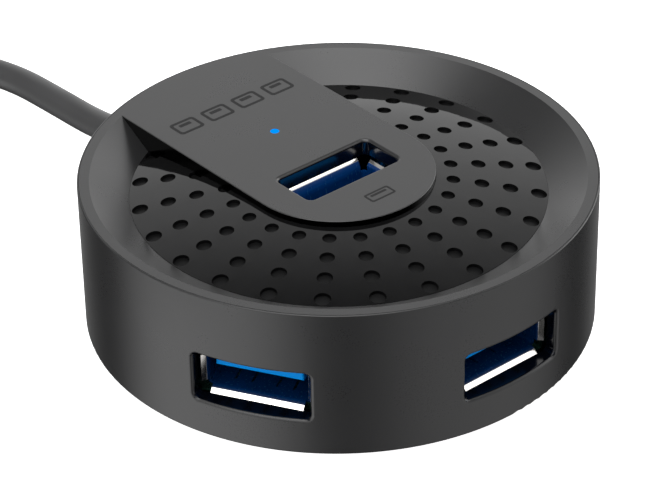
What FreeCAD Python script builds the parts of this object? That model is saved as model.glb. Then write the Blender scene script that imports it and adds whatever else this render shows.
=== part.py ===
"""Round four-port hub: a puck-shaped case, three side sockets, one socket in the tongue and a captive lead.

Millimetres, +Z up. The origin is on the case's axis, on the surface the feet stand on. The lead leaves
towards +Y, and one side socket faces -Y.
"""

import FreeCAD, Part

import math
import os

Vector = FreeCAD.Vector

# ---- case ----
CASE_R = 32.0
CASE_TOP = 20.0
WALL = 1.8
WALL_BOTTOM = 0.4
BOTTOM_ROUND = 0.3
TOP_ROUND = 0.16
SEAM = 0.05
RIM_STEP_Z = 18.6
RIM_STEP_WALL = 0.2
LEDGE_R = 29.5
LEDGE_TOP = 3.4

# ---- top cover ----
RIM_INNER_R = 30.5
CONE_FOOT_R = 25.75
CONE_FOOT_Z = 17.07
COVER_UNDER_Z = 17.05
SKIRT_OUTER_R = 30.0
SKIRT_INNER_R = 28.8
SKIRT_BOTTOM = 14.0
TONGUE_HALF = 12.0
TONGUE_THICK = 2.1
TONGUE_WALL = 1.4
TONGUE_EDGE = 0.12
TONGUE_BACK_Y = 31.0
POCKET_BACK_Y = 26.4
TONGUE_END_R = 29.2

# ---- domed plate with its rings of dimples ----
DOME_R = 124.0
DOME_APEX = 19.8
PLATE_THICK = 1.5
PLATE_R = 28.7
PLATE_GAP = 0.02
FLANGE_INNER_R = 23.75
FLANGE_Z = 15.4
FLANGE_TOP = 17.03
SPOKES = 24
RINGS = ((14.1, 0.86), (17.6, 0.92), (21.1, 0.97), (24.6, 1.02))
DIMPLE_DEPTH = 0.45

# ---- base, screws and feet ----
BASE_R = 30.0
BASE_TOP = 2.2
POST_PITCH_R = 27.0
POST_R = 2.2
POST_TOP = 17.1
BOSS_R = 2.5
POST_ANGLES = (-120.0, -60.0, 45.0, 135.0)
SCREW_R = 1.1
SCREW_HOLE_R = 1.16
SCREW_TOP = 12.0
SHANK_HOLE_R = 1.35
HEAD_R = 2.0
HEAD_HOLE_R = 2.2
HEAD_SEAT = 1.7
HEAD_BOTTOM = 0.6
HEAD_ROUND = 0.35
DRIVE_LENGTH = 2.4
DRIVE_WIDTH = 0.4
DRIVE_DEPTH = 0.7
FOOT_R = 3.5
FOOT_PITCH_R = 22.0
FOOT_TOP = 1.2
FOOT_ROUND = 0.3
FOOT_ANGLES = (0.0, 90.0, 180.0, 270.0)
PILLAR_R = 1.5
PILLAR_PITCH_R = 22.0
PILLAR_X = 9.5
RIB_X0, RIB_X1 = 5.2, 7.2
RIB_Y0, RIB_Y1 = 26.5, 28.4
RIB_TOP = 9.0
RING_RIB_R0, RING_RIB_R1 = 12.0, 13.0
RING_RIB_TOP = 3.2

# ---- circuit board and what stands on it ----
BOARD_R = 29.2
BOARD_TOP = 5.6
BOARD_THICK = 1.2
BOARD_BOTTOM = BOARD_TOP - BOARD_THICK
BOARD_FLAT = 28.2
BOARD_BACK_Y = 23.5
BOARD_HOLE_R = 1.4
HOLE_GAP = 0.15
CONTROLLER_X, CONTROLLER_Y = -10.5, 10.5
CONTROLLER_SIDE = 8.0
CONTROLLER_HEIGHT = 0.9
CONTROLLER_RING_R = 6.4
CRYSTAL_X, CRYSTAL_Y = -19.5, 7.0
REGULATOR_X, REGULATOR_Y = 11.0, 7.5
CAN_R = 2.5
CAN_FOOT_HEIGHT = 0.8
CAN_TOP = BOARD_TOP + 5.6
CAN_PLACES = ((19.0, 4.5), (18.5, 11.5), (-21.5, 11.5))
FUSE_PLACES = ((-10.0, -17.32, -120.0), (10.0, -17.32, -60.0), (-24.0, 3.5, 90.0), (24.5, 0.5, 90.0))
FILTER_ROW_X, FILTER_ROW_Y = (8.0, 10.5, 13.0), 14.5
RESISTOR_ROW_X, RESISTOR_ROW_Y = (-6.0, -4.5, -3.0, 3.0, 4.5, 6.0), 17.6
RESISTOR_PLACES = ((2.0, 12.2), (-2.2, 6.0))

# ---- indicator ----
LED_Y = 12.2
LED_HEIGHT = 0.7
PIPE_TIP_R = 0.58
PIPE_FLANGE_R = 1.6
PIPE_FLANGE = 0.8
PIPE_R = 1.0
PIPE_BOTTOM = BOARD_TOP + 0.9
PIPE_SUNK = 0.02

# ---- sockets: x across, y up and z out of the mouth, in each socket's own frame ----
SHELL_W = 13.1
SHELL_H = 5.7
SHEET = 0.3
SHELL_CORNER = 0.6
LONG_LIP_HALF_W = 5.8
LONG_LIP_RISE = 0.74
LONG_LIP_FLAT_SIDE, LONG_LIP_FLAT_TOP = 0.42, 0.14
SHORT_LIP_HALF_W = 1.85
SHORT_LIP_RISE = 0.6
SHORT_LIP_FLAT = 0.45
OPENING_W = 14.5
OPENING_H = 6.5
OPENING_CORNER = 0.8
OPENING_EDGE = 0.43
MOUTH_R = 29.5
SEAT_OUT = 0.05
SEAT_HALF_W = 8.0
SEAT_HALF_H = 4.25
SIDE_DEPTH = 14.0
TOP_MOUTH_Z = 17.75
TOP_DEPTH = TOP_MOUTH_Z - BOARD_TOP
PORT_Z = BOARD_TOP + SHELL_H / 2
PLATE_W = 11.0
PLATE_H = 1.9
PLATE_TIP = 1.3
PLATE_ROUND = 0.25
BACK_BLOCK = 3.2
SLIP = 0.05
SLOW_CONTACTS = (-3.5, -1.0, 1.0, 3.5)
FAST_CONTACTS = (-4.75, -2.25, 0.0, 2.25, 4.75)
SLOW_TIP, FAST_TIP = 3.8, 1.8
SLOW_TAIL, FAST_TAIL = 0.8, 2.2
CONTACT_W = 0.6
CONTACT_T = 0.2
CONTACT_HOLE_R = 0.42
BELOW_BOARD = BOARD_THICK + 0.7
LEG_W = 1.5
LEG_DEPTHS = (4.0, 10.0)
SPRING_X = 2.6
SPRING_HALF_W = 1.2
SPRING_CUT = 0.3
SPRING_FROM, SPRING_TO = 2.6, 7.0
SIDE_PORTS = {"left": -150.0, "front": -90.0, "right": -30.0}

# ---- lead ----
CORD_R = 2.0
CORD_Z = 5.2
BOOT_ANCHOR_Y = 24.5
BOOT_FLANGE_Y = 26.3
BOOT_NECK_Y = 29.0
BOOT_NECK_R = 2.85
BOOT_HOLE_R = 2.9
COLLAR_Y0, COLLAR_Y1 = 32.0, 33.0
COLLAR_R = 3.9
BOOT_END_Y = 38.0
BOOT_BOTTOM, BOOT_TOP = 2.3, 8.2
ANCHOR_HALF_W = 5.0
FLANGE_HALF_W = 7.2
RIB_START_R = 3.0
RIB_PITCH = 1.0
RIB_LONG = 0.6
RIB_DEEP = 0.5
CORES = 10
CORE_R = 0.4
PAD_Y, PAD_PITCH = 19.6, 1.15
NECK_Z, NECK_PITCH = 6.3, 0.98
CORD_ROUTE = [
    (0.0, 38.0, 5.2),
    (0.0, 44.5, 5.2),
    (0.2, 51.5, 3.7),
    (0.1, 60.0, 3.5),
    (0.0, 71.0, 3.0),
    (-3.4, 81.4, 2.4),
    (-10.9, 89.7, 2.2),
    (-21.4, 94.1, 2.7),
    (-32.4, 94.1, 2.7),
]
TAIL_ROUTE = [
    (-73.0, 54.0, 6.5),
    (-73.0, 47.5, 6.5),
    (-73.0, 38.8, 4.0),
    (-73.0, 32.3, 4.0),
]
ARC_SHARE = 0.45
COIL_X, COIL_Y = -48.0, 69.1
COIL_OUTER, COIL_INNER = 27.2, 18.8
COIL_BOTTOM, COIL_TOP = 0.6, 8.6
COIL_CORNER = 1.6
INTO_COIL = 5.0
TIE_ANGLE = -60.0
TIE_WIDTH = 7.0
TIE_THICK = 0.6

# ---- plug on the lead's far end, pointing to -Y ----
PLUG_X, PLUG_BOOT_Y, PLUG_Z = TAIL_ROUTE[-1]
PLUG_BODY_Y = 24.3
PLUG_FACE_Y = 4.3
PLUG_BODY_W = 15.6
PLUG_BODY_H = 7.8
PLUG_CORNER = 1.6
PLUG_ROUND = 0.8
PLUG_BOOT_R0, PLUG_BOOT_R1 = 3.4, 2.5
PLUG_SHELL_W = 12.0
PLUG_SHELL_H = 4.5
PLUG_SHELL_CORNER = 0.5
PLUG_SHELL_OUT = 11.75
PLUG_SHELL_IN = 6.0
PLUG_TIP_Y = PLUG_FACE_Y - PLUG_SHELL_OUT
PLUG_BLOCK = 5.6
PLUG_PLATE_TOP = PLUG_Z - 0.1
PLUG_SLOW_W, PLUG_FAST_W = 1.0, 0.6
PLUG_SLOW_TIP, PLUG_FAST_TIP = 1.2, 8.6
PLUG_CONTACT_IN = 4.0
WINDOW_FROM, WINDOW_SIDE = 5.2, 2.5

NEAR = 0.01

os.makedirs("parts", exist_ok=True)


# ---------------------------------------------------------------- shapes used again and again
def disc(radius, z0, z1, x=0.0, y=0.0):
    return Part.makeCylinder(radius, z1 - z0, Vector(x, y, z0))


def box(x0, x1, y0, y1, z0, z1):
    return Part.makeBox(x1 - x0, y1 - y0, z1 - z0, Vector(x0, y0, z0))


def middled(x, y, length, width, z0, z1):
    """A box given by the middle of its plan."""
    return box(x - length / 2, x + length / 2, y - width / 2, y + width / 2, z0, z1)


def polar(radius, degrees):
    return radius * math.cos(math.radians(degrees)), radius * math.sin(math.radians(degrees))


def turned(points):
    """Solid of revolution about Z from a closed outline of (radius, z) points."""
    corners = [Vector(r, 0, z) for r, z in points]
    face = Part.Face(Part.makePolygon(corners + corners[:1]))
    return face.revolve(Vector(0, 0, 0), Vector(0, 0, 1), 360)


def edges_along(shape, axis):
    """The straight edges that run along an axis."""
    return [e for e in shape.Edges if abs(e.tangentAt(e.FirstParameter).dot(axis)) > 0.9]


def rounded_bar(width, height, corner, z0, z1):
    """Bar along Z with a rounded rectangular section, centred on the Z axis."""
    bar = middled(0, 0, width, height, z0, z1)
    return bar.makeFillet(corner, edges_along(bar, Vector(0, 0, 1)))


def rod(start, end, radius):
    direction = Vector(*end) - Vector(*start)
    return Part.makeCylinder(radius, direction.Length, Vector(*start), direction)


def joined(shapes):
    first, *rest = shapes
    return first.fuse(rest).removeSplitter() if rest else first


def largest(shape):
    return max(shape.Solids, key=lambda s: s.Volume)


def same_edges(shape, wanted):
    """The shape's own edges that lie where the wanted ones do."""
    places = [(e.CenterOfMass, e.Length) for e in wanted]
    return [
        e for e in shape.Edges
        if any((e.CenterOfMass - c).Length < NEAR and abs(e.Length - n) < 5 * NEAR for c, n in places)
    ]


def filleted(shape, wanted, radius):
    return shape.makeFillet(radius, same_edges(shape, wanted))


def frame_matrix(across, up, out, origin):
    m = FreeCAD.Matrix()
    m.A11, m.A21, m.A31 = across
    m.A12, m.A22, m.A32 = up
    m.A13, m.A23, m.A33 = out
    m.A14, m.A24, m.A34 = origin
    return m


def side_frame(angle):
    """A side socket's frame: x across, y up, z straight out, origin in the middle of its mouth."""
    c, s = polar(1.0, angle)
    return frame_matrix((-s, c, 0), (0, 0, 1), (c, s, 0), (MOUTH_R * c, MOUTH_R * s, PORT_Z))


TOP_FRAME = frame_matrix((-1, 0, 0), (0, -1, 0), (0, 0, 1), (0, 0, TOP_MOUTH_Z))


def placed(shape, matrix):
    moved = shape.copy()
    moved.transformShape(matrix)
    return moved


def at_posts(radius, z0, z1):
    return [disc(radius, z0, z1, *polar(POST_PITCH_R, angle)) for angle in POST_ANGLES]


def save(name, shape):
    shape.exportStep(f"parts/{name}.step")
    print(f"{name:24s} solids {len(shape.Solids):3d}  volume {shape.Volume:9.2f}  valid {shape.isValid()}")


# ---------------------------------------------------------------- case
def opening():
    """The cutter for the cut-out in front of a socket, in the socket's frame."""
    return rounded_bar(OPENING_W, OPENING_H, OPENING_CORNER, -1.0, 4.0)


def on_cylinder(edge, radius):
    step = (edge.LastParameter - edge.FirstParameter) / 4
    points = [edge.valueAt(edge.FirstParameter + k * step) for k in range(5)]
    return all(abs(math.hypot(p.x, p.y) - radius) < NEAR for p in points)


def side_wall():
    inner = CASE_R - WALL
    step = CASE_R - RIM_STEP_WALL
    wall = turned([
        (CASE_R, WALL_BOTTOM),
        (CASE_R, CASE_TOP),
        (step, CASE_TOP),
        (step, RIM_STEP_Z),
        (inner, RIM_STEP_Z),
        (inner, LEDGE_TOP),
        (LEDGE_R, LEDGE_TOP),
        (LEDGE_R, BASE_TOP),
        (inner, BASE_TOP),
        (inner, WALL_BOTTOM),
    ])
    frames = [side_frame(angle) for angle in SIDE_PORTS.values()]
    inside = disc(inner + 0.1, WALL_BOTTOM, CASE_TOP)
    for frame in frames:
        seat = box(-SEAT_HALF_W, SEAT_HALF_W, -SEAT_HALF_H, SEAT_HALF_H, SEAT_OUT, 2.0)
        wall = wall.fuse(placed(seat, frame).common(inside))
    for frame in frames:
        room = box(-SEAT_HALF_W, SEAT_HALF_W, -SEAT_HALF_H, SEAT_HALF_H, -4.0, SEAT_OUT)
        wall = wall.cut(placed(room, frame)).cut(placed(opening(), frame))
    wall = wall.cut(rod((0, BOOT_ANCHOR_Y, CORD_Z), (0, CASE_R + 3.0, CORD_Z), BOOT_HOLE_R))
    outer = [e for e in wall.Edges if on_cylinder(e, CASE_R)]
    mouths = [e for e in outer if 1.0 < e.CenterOfMass.z < 15.0 and e.CenterOfMass.y < 20.0]
    bottom = [e for e in outer if abs(e.BoundBox.ZMax - WALL_BOTTOM) < NEAR]
    top = [e for e in outer if abs(e.BoundBox.ZMin - CASE_TOP) < NEAR]
    wall = filleted(wall.removeSplitter(), mouths, OPENING_EDGE)
    wall = filleted(wall, bottom, BOTTOM_ROUND)
    return filleted(wall, top, TOP_ROUND)


def tongue_outline(half, back_y, z0, z1):
    """The tongue's plan: straight sides from the back and a round end about the case's axis."""
    a, b = Vector(half, back_y, z0), Vector(half, 0, z0)
    c, d = Vector(-half, 0, z0), Vector(-half, back_y, z0)
    outline = Part.Wire([
        Part.LineSegment(a, b).toShape(),
        Part.Arc(b, Vector(0, -half, z0), c).toShape(),
        Part.LineSegment(c, d).toShape(),
        Part.LineSegment(d, a).toShape(),
    ])
    return Part.Face(outline).extrude(Vector(0, 0, z1 - z0))


def post_root(gap=0.0):
    """The part of the screw posts that stands outside the dome, where they pass the plate's flange."""
    posts = joined([disc(POST_R + gap, 15.0, POST_TOP, *polar(POST_PITCH_R, a)) for a in POST_ANGLES])
    return posts.cut(disc(CONE_FOOT_R + 0.2 - gap, 14.0, 18.0))


def is_tongue_edge(edge):
    middle = edge.valueAt((edge.FirstParameter + edge.LastParameter) / 2)
    straight = abs(abs(middle.x) - TONGUE_HALF) < NEAR and middle.y > 1.0
    end = abs(math.hypot(middle.x, middle.y) - TONGUE_HALF) < NEAR and middle.y < 1.0
    return straight or end


def is_mouth_edge(edge):
    """True for the edges of the cut-out over the upright socket."""
    b = edge.BoundBox
    return max(-b.XMin, b.XMax) < OPENING_W / 2 + NEAR and max(-b.YMin, b.YMax) < OPENING_H / 2 + NEAR


def top_cover():
    outer = CASE_R - RIM_STEP_WALL - SEAM
    ring = turned([
        (RIM_INNER_R, CASE_TOP),
        (outer, CASE_TOP),
        (outer, RIM_STEP_Z),
        (SKIRT_OUTER_R, RIM_STEP_Z),
        (SKIRT_OUTER_R, SKIRT_BOTTOM),
        (SKIRT_INNER_R, SKIRT_BOTTOM),
        (SKIRT_INNER_R, COVER_UNDER_Z),
        (CONE_FOOT_R, COVER_UNDER_Z),
        (CONE_FOOT_R, CONE_FOOT_Z),
    ])
    tongue = tongue_outline(TONGUE_HALF, TONGUE_BACK_Y, FLANGE_Z, CASE_TOP)
    pocket_half, pocket_top = TONGUE_HALF - TONGUE_WALL, CASE_TOP - TONGUE_THICK
    pocket = tongue_outline(pocket_half, POCKET_BACK_Y, FLANGE_Z - 1, pocket_top)
    limit = joined([
        disc(TONGUE_END_R, FLANGE_Z, CASE_TOP),
        disc((RIM_INNER_R + outer) / 2, RIM_STEP_Z, CASE_TOP),
    ])
    tongue = tongue.common(limit).cut(pocket)
    cover = joined([ring, tongue, post_root()] + at_posts(POST_R, BOARD_TOP, FLANGE_Z))
    for hole in at_posts(SCREW_HOLE_R, BOARD_TOP - 1, SCREW_TOP + 1.0):
        cover = cover.cut(hole)
    cover = cover.cut(placed(opening(), TOP_FRAME))
    cover = cover.cut(disc(PIPE_TIP_R, FLANGE_Z, CASE_TOP + 1, 0, LED_Y))
    top_edges = [e for e in cover.Edges if e.BoundBox.ZMin > CASE_TOP - NEAR]
    cover = filleted(cover, [e for e in top_edges if is_mouth_edge(e)], OPENING_EDGE)
    return filleted(cover, [e for e in top_edges if is_tongue_edge(e)], TONGUE_EDGE)


def dimple(ring_r, dimple_r, degrees):
    """The cutter for one dimple, square to the dome's surface."""
    x, y = polar(ring_r, degrees)
    top = Vector(x, y, DOME_APEX - DOME_R + math.sqrt(DOME_R ** 2 - ring_r ** 2))
    out = Vector(x / DOME_R, y / DOME_R, 1.0).normalize()
    return Part.makeCylinder(dimple_r, DIMPLE_DEPTH + 1.0, top - out * DIMPLE_DEPTH, out)


def dimples():
    """A dimple on every spoke of every ring, except where the tongue covers them."""
    cutters = []
    for ring_r, dimple_r in RINGS:
        for k in range(SPOKES):
            degrees = 90.0 + 360.0 * k / SPOKES
            x, y = polar(ring_r, degrees)
            if y < 0 or abs(x) > TONGUE_HALF - dimple_r:
                cutters.append(dimple(ring_r, dimple_r, degrees))
    return Part.makeCompound(cutters)


def dome_plate():
    centre = Vector(0, 0, DOME_APEX - DOME_R)
    cap = Part.makeSphere(DOME_R, centre).common(disc(CONE_FOOT_R - PLATE_GAP, 10.0, DOME_APEX + 1))
    hollow = Part.makeSphere(DOME_R - PLATE_THICK, centre)
    flange = turned([
        (FLANGE_INNER_R, FLANGE_Z),
        (PLATE_R, FLANGE_Z),
        (PLATE_R, FLANGE_TOP),
        (FLANGE_INNER_R, FLANGE_TOP),
    ])
    plate = cap.cut(hollow).fuse(flange)
    plate = plate.cut(tongue_outline(TONGUE_HALF + PLATE_GAP, CASE_R, 5.0, 25.0)).cut(post_root(0.1))
    return largest(plate.cut(dimples()).removeSplitter())


# ---------------------------------------------------------------- base, screws and feet
def base_cover():
    base = [disc(BASE_R, WALL_BOTTOM, BASE_TOP)]
    base += at_posts(BOSS_R, BASE_TOP, BOARD_BOTTOM)
    base += [disc(PILLAR_R, BASE_TOP, BOARD_BOTTOM, *polar(PILLAR_PITCH_R, a)) for a in SIDE_PORTS.values()]
    base += [disc(PILLAR_R, BASE_TOP, BOARD_BOTTOM, side * PILLAR_X, 0) for side in (-1, 1)]
    for x0, x1 in ((-RIB_X1, -RIB_X0), (RIB_X0, RIB_X1)):
        base.append(box(x0, x1, RIB_Y0, RIB_Y1, BASE_TOP, RIB_TOP))
    base.append(turned([
        (RING_RIB_R0, BASE_TOP),
        (RING_RIB_R1, BASE_TOP),
        (RING_RIB_R1, RING_RIB_TOP),
        (RING_RIB_R0, RING_RIB_TOP),
    ]))
    cover = joined(base)
    for hole in at_posts(HEAD_HOLE_R, 0, HEAD_SEAT) + at_posts(SHANK_HOLE_R, 0, BOARD_TOP):
        cover = cover.cut(hole)
    for angle in FOOT_ANGLES:
        cover = cover.cut(disc(FOOT_R, 0, FOOT_TOP, *polar(FOOT_PITCH_R, angle)))
    return cover


def rubber_feet():
    feet = []
    for angle in FOOT_ANGLES:
        foot = disc(FOOT_R, 0, FOOT_TOP, *polar(FOOT_PITCH_R, angle))
        feet.append(foot.makeFillet(FOOT_ROUND, [e for e in foot.Edges if e.BoundBox.ZMax < NEAR]))
    return Part.makeCompound(feet)


def case_screws():
    screws = []
    for angle in POST_ANGLES:
        x, y = polar(POST_PITCH_R, angle)
        head = disc(HEAD_R, HEAD_BOTTOM, HEAD_SEAT, x, y)
        head = head.makeFillet(HEAD_ROUND, [e for e in head.Edges if e.BoundBox.ZMax < HEAD_BOTTOM + NEAR])
        screw = joined([head, disc(SCREW_R, HEAD_SEAT, SCREW_TOP, x, y)])
        for length, width in ((DRIVE_LENGTH, DRIVE_WIDTH), (DRIVE_WIDTH, DRIVE_LENGTH)):
            screw = screw.cut(middled(x, y, length, width, 0, HEAD_BOTTOM + DRIVE_DEPTH))
        screws.append(screw)
    return Part.makeCompound(screws)


# ---------------------------------------------------------------- sockets
def lip_bend(rise, flat):
    """The radius of a lip's bend, and how far back from the mouth the bend starts."""
    bend_r = (rise - flat) / (1 - math.cos(math.pi / 4))
    return bend_r, flat + bend_r * math.sin(math.pi / 4)


def lip(half_width, inner, rise, flat, back):
    """A lip along x that bends out by 45 degrees and ends in a flat at the mouth, z = 0."""
    bend_r, depth = lip_bend(rise, flat)
    centre = Vector(-half_width, inner + bend_r, -depth)

    def on_bend(radius, degrees):
        along, out = polar(radius, degrees)
        return centre + Vector(0, -along, out)

    t = SHEET / math.sqrt(2)
    under_r = bend_r - SHEET
    tip = Vector(-half_width, inner + rise, 0)
    under_tip = tip + Vector(0, t, -t)
    root = Vector(-half_width, inner, -back)
    under_root = root + Vector(0, SHEET, 0)
    outline = Part.Wire([
        Part.LineSegment(root, on_bend(bend_r, 0)).toShape(),
        Part.Arc(on_bend(bend_r, 0), on_bend(bend_r, 22.5), on_bend(bend_r, 45)).toShape(),
        Part.LineSegment(on_bend(bend_r, 45), tip).toShape(),
        Part.LineSegment(tip, under_tip).toShape(),
        Part.LineSegment(under_tip, on_bend(under_r, 45)).toShape(),
        Part.Arc(on_bend(under_r, 45), on_bend(under_r, 22.5), on_bend(under_r, 0)).toShape(),
        Part.LineSegment(on_bend(under_r, 0), under_root).toShape(),
        Part.LineSegment(under_root, root).toShape(),
    ])
    return Part.Face(outline).extrude(Vector(2 * half_width, 0, 0))


def about_z(shape, degrees):
    moved = shape.copy()
    moved.rotate(Vector(0, 0, 0), Vector(0, 0, 1), degrees)
    return moved


def spring_slot(x, side):
    """The cut round three sides of a spring finger in the shell's broad faces."""
    y0, y1 = sorted((side * (SHELL_H / 2 - SHEET - 0.1), side * (SHELL_H / 2 + 0.1)))
    outer = box(x - SPRING_HALF_W, x + SPRING_HALF_W, y0, y1, -SPRING_TO, -SPRING_FROM)
    half = SPRING_HALF_W - SPRING_CUT
    return outer.cut(box(x - half, x + half, y0 - 1, y1 + 1, SPRING_CUT - SPRING_TO, 0))


def shell_legs(depth, board_along_y):
    """The tabs that go down through the board, in both side walls."""
    legs = []
    for side in (-1, 1):
        x0, x1 = sorted((side * SHELL_W / 2, side * (SHELL_W / 2 - SHEET)))
        if board_along_y:
            foot = -SHELL_H / 2 - BELOW_BOARD
            legs += [box(x0, x1, foot, 0, -z - LEG_W / 2, -z + LEG_W / 2) for z in LEG_DEPTHS]
        else:
            legs.append(box(x0, x1, -LEG_W / 2, LEG_W / 2, -depth - BELOW_BOARD, -depth + 2.0))
    return legs


def socket_shell(depth, board_along_y):
    """The pressed-metal shell of a socket, mouth at z = 0, with its flared lips and board legs."""
    inner_w, inner_h = SHELL_W - 2 * SHEET, SHELL_H - 2 * SHEET
    long_flat = LONG_LIP_FLAT_SIDE if board_along_y else LONG_LIP_FLAT_TOP
    front = lip_bend(LONG_LIP_RISE, long_flat)[1] + 0.1
    tube = rounded_bar(SHELL_W, SHELL_H, SHELL_CORNER, -depth, -front)
    back = -depth + SHEET if board_along_y else -depth - 1.0
    tube = tube.cut(rounded_bar(inner_w, inner_h, SHELL_CORNER - SHEET, back, 1.0))
    long_lip = lip(LONG_LIP_HALF_W, inner_h / 2, LONG_LIP_RISE, long_flat, front + 0.1)
    short_lip = lip(SHORT_LIP_HALF_W, inner_w / 2, SHORT_LIP_RISE, SHORT_LIP_FLAT, front + 0.1)
    pieces = [tube] + [about_z(long_lip, a) for a in (0, 180)] + [about_z(short_lip, a) for a in (90, 270)]
    shell = joined(pieces + shell_legs(depth, board_along_y))
    if board_along_y:
        way_out = box(-5.6, 5.6, -4.0, -2.0, -depth + SHEET, -depth + BACK_BLOCK + 0.2)
        shell = shell.cut(way_out)
    for x in (-SPRING_X, SPRING_X):
        shell = shell.cut(spring_slot(x, -1)).cut(spring_slot(x, 1))
    return shell


def socket_contacts(depth, board_along_y):
    """Four contacts with long bare ends and five that stop nearer the mouth."""
    contacts = []
    for places, tip, back in ((SLOW_CONTACTS, SLOW_TIP, SLOW_TAIL), (FAST_CONTACTS, FAST_TIP, FAST_TAIL)):
        for x in places:
            x0, x1 = x - CONTACT_W / 2, x + CONTACT_W / 2
            if board_along_y:
                tail_z = back - depth
                strip = box(x0, x1, -CONTACT_T, 0, tail_z, -tip)
                tail = box(x0, x1, -SHELL_H / 2 - BELOW_BOARD, 0, tail_z - 0.2, tail_z + 0.2)
                contacts.append(joined([strip, tail]))
            else:
                contacts.append(box(x0, x1, -CONTACT_T, 0, -depth - BELOW_BOARD, -tip))
    return Part.makeCompound(contacts)


def socket_insulator(depth, board_along_y):
    """The blue moulding: a block at the back and the flat plate that the plug slides under."""
    width = SHELL_W - 2 * (SHEET + SLIP)
    height = SHELL_H - 2 * (SHEET + SLIP)
    back = -depth + SHEET + SLIP if board_along_y else -depth
    block = rounded_bar(width, height, SHELL_CORNER - SHEET, back, -depth + BACK_BLOCK)
    plate = box(-PLATE_W / 2, PLATE_W / 2, 0, PLATE_H, -depth + BACK_BLOCK - 0.5, -PLATE_TIP)
    plate = plate.makeFillet(PLATE_ROUND, [e for e in plate.Edges if e.BoundBox.ZMin > -PLATE_TIP - NEAR])
    return largest(joined([block, plate]).cut(socket_contacts(depth, board_along_y)))


# ---------------------------------------------------------------- board and its parts
def leg_slot(x, y, along_x, along_y):
    gap = HOLE_GAP * 2
    return middled(x, y, along_x + gap, along_y + gap, 0, BOARD_TOP + 1)


def main_board():
    board = disc(BOARD_R, BOARD_BOTTOM, BOARD_TOP)
    board = board.cut(box(-CASE_R, CASE_R, BOARD_BACK_Y, CASE_R, 0, BOARD_TOP + 1))
    holes = at_posts(BOARD_HOLE_R, 0, BOARD_TOP + 1)
    leg_x = (SHELL_W - SHEET) / 2
    for angle in SIDE_PORTS.values():
        frame = side_frame(angle)
        board = board.cut(placed(box(-20, 20, -10, 10, BOARD_FLAT - MOUTH_R, 10), frame))
        for side in (-1, 1):
            for depth in LEG_DEPTHS:
                slot = leg_slot(0, 0, SHEET, LEG_W)
                slot.rotate(Vector(0, 0, 0), Vector(0, 0, 1), angle + 90)
                slot.translate(Vector(*polar(MOUTH_R - depth, angle), 0))
                slot.translate(Vector(*polar(side * leg_x, angle + 90), 0))
                holes.append(slot)
        for places, back in ((SLOW_CONTACTS, SLOW_TAIL), (FAST_CONTACTS, FAST_TAIL)):
            for x in places:
                start = frame.multVec(Vector(x, 0, back - SIDE_DEPTH))
                holes.append(disc(CONTACT_HOLE_R, 0, BOARD_TOP + 1, start.x, start.y))
    for x in SLOW_CONTACTS + FAST_CONTACTS:
        holes.append(disc(CONTACT_HOLE_R, 0, BOARD_TOP + 1, x, CONTACT_T / 2))
    holes += [leg_slot(side * leg_x, 0, SHEET, LEG_W) for side in (-1, 1)]
    return largest(board.cut(Part.makeCompound(holes)))


def chip(x, y, length, width, height, angle=0.0):
    body = middled(0, 0, length, width, BOARD_TOP, BOARD_TOP + height)
    body.rotate(Vector(0, 0, 0), Vector(0, 0, 1), angle)
    body.translate(Vector(x, y, 0))
    return body


def hub_controller():
    body = chip(CONTROLLER_X, CONTROLLER_Y, CONTROLLER_SIDE, CONTROLLER_SIDE, CONTROLLER_HEIGHT)
    corner = CONTROLLER_SIDE / 2 - 1.0
    dot_z = BOARD_TOP + CONTROLLER_HEIGHT - 0.1
    return body.cut(disc(0.4, dot_z, dot_z + 1, CONTROLLER_X - corner, CONTROLLER_Y + corner))


def crystal():
    return chip(CRYSTAL_X, CRYSTAL_Y, 3.2, 2.5, 0.75, 90)


def voltage_regulator():
    body = chip(REGULATOR_X, REGULATOR_Y, 6.5, 3.5, 1.6)
    legs = [chip(REGULATOR_X + x, REGULATOR_Y - 2.55, 0.8, 1.6, 0.3) for x in (-2.3, 0.0, 2.3)]
    tab = chip(REGULATOR_X, REGULATOR_Y + 2.55, 3.0, 1.6, 0.3)
    return joined([body, tab] + legs)


def bulk_capacitors():
    cans = []
    for x, y in CAN_PLACES:
        foot = chip(x, y, 2 * CAN_R + 0.3, 2 * CAN_R + 0.3, CAN_FOOT_HEIGHT)
        cans.append(joined([foot, disc(CAN_R, BOARD_TOP + CAN_FOOT_HEIGHT, CAN_TOP, x, y)]))
    return Part.makeCompound(cans)


def port_fuses():
    return Part.makeCompound([chip(x, y, 3.2, 1.6, 0.9, angle) for x, y, angle in FUSE_PLACES])


def chip_capacitors():
    parts = []
    for k in range(8):
        angle = 22.5 + 45.0 * k
        x, y = polar(CONTROLLER_RING_R, angle)
        parts.append(chip(CONTROLLER_X + x, CONTROLLER_Y + y, 1.0, 0.5, 0.5, angle))
    parts += [chip(x, FILTER_ROW_Y, 1.6, 0.8, 0.8, 90) for x in FILTER_ROW_X]
    return Part.makeCompound(parts)


def chip_resistors():
    parts = [chip(x, RESISTOR_ROW_Y, 1.0, 0.5, 0.4, 90) for x in RESISTOR_ROW_X]
    parts += [chip(x, y, 1.0, 0.5, 0.4) for x, y in RESISTOR_PLACES]
    return Part.makeCompound(parts)


def status_led():
    return chip(0.0, LED_Y, 1.6, 0.8, LED_HEIGHT)


def light_pipe():
    under = CASE_TOP - TONGUE_THICK
    return joined([
        disc(PIPE_TIP_R, under, CASE_TOP - PIPE_SUNK, 0, LED_Y),
        disc(PIPE_FLANGE_R, under - PIPE_FLANGE, under, 0, LED_Y),
        disc(PIPE_R, PIPE_BOTTOM, under - PIPE_FLANGE, 0, LED_Y),
    ])


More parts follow.
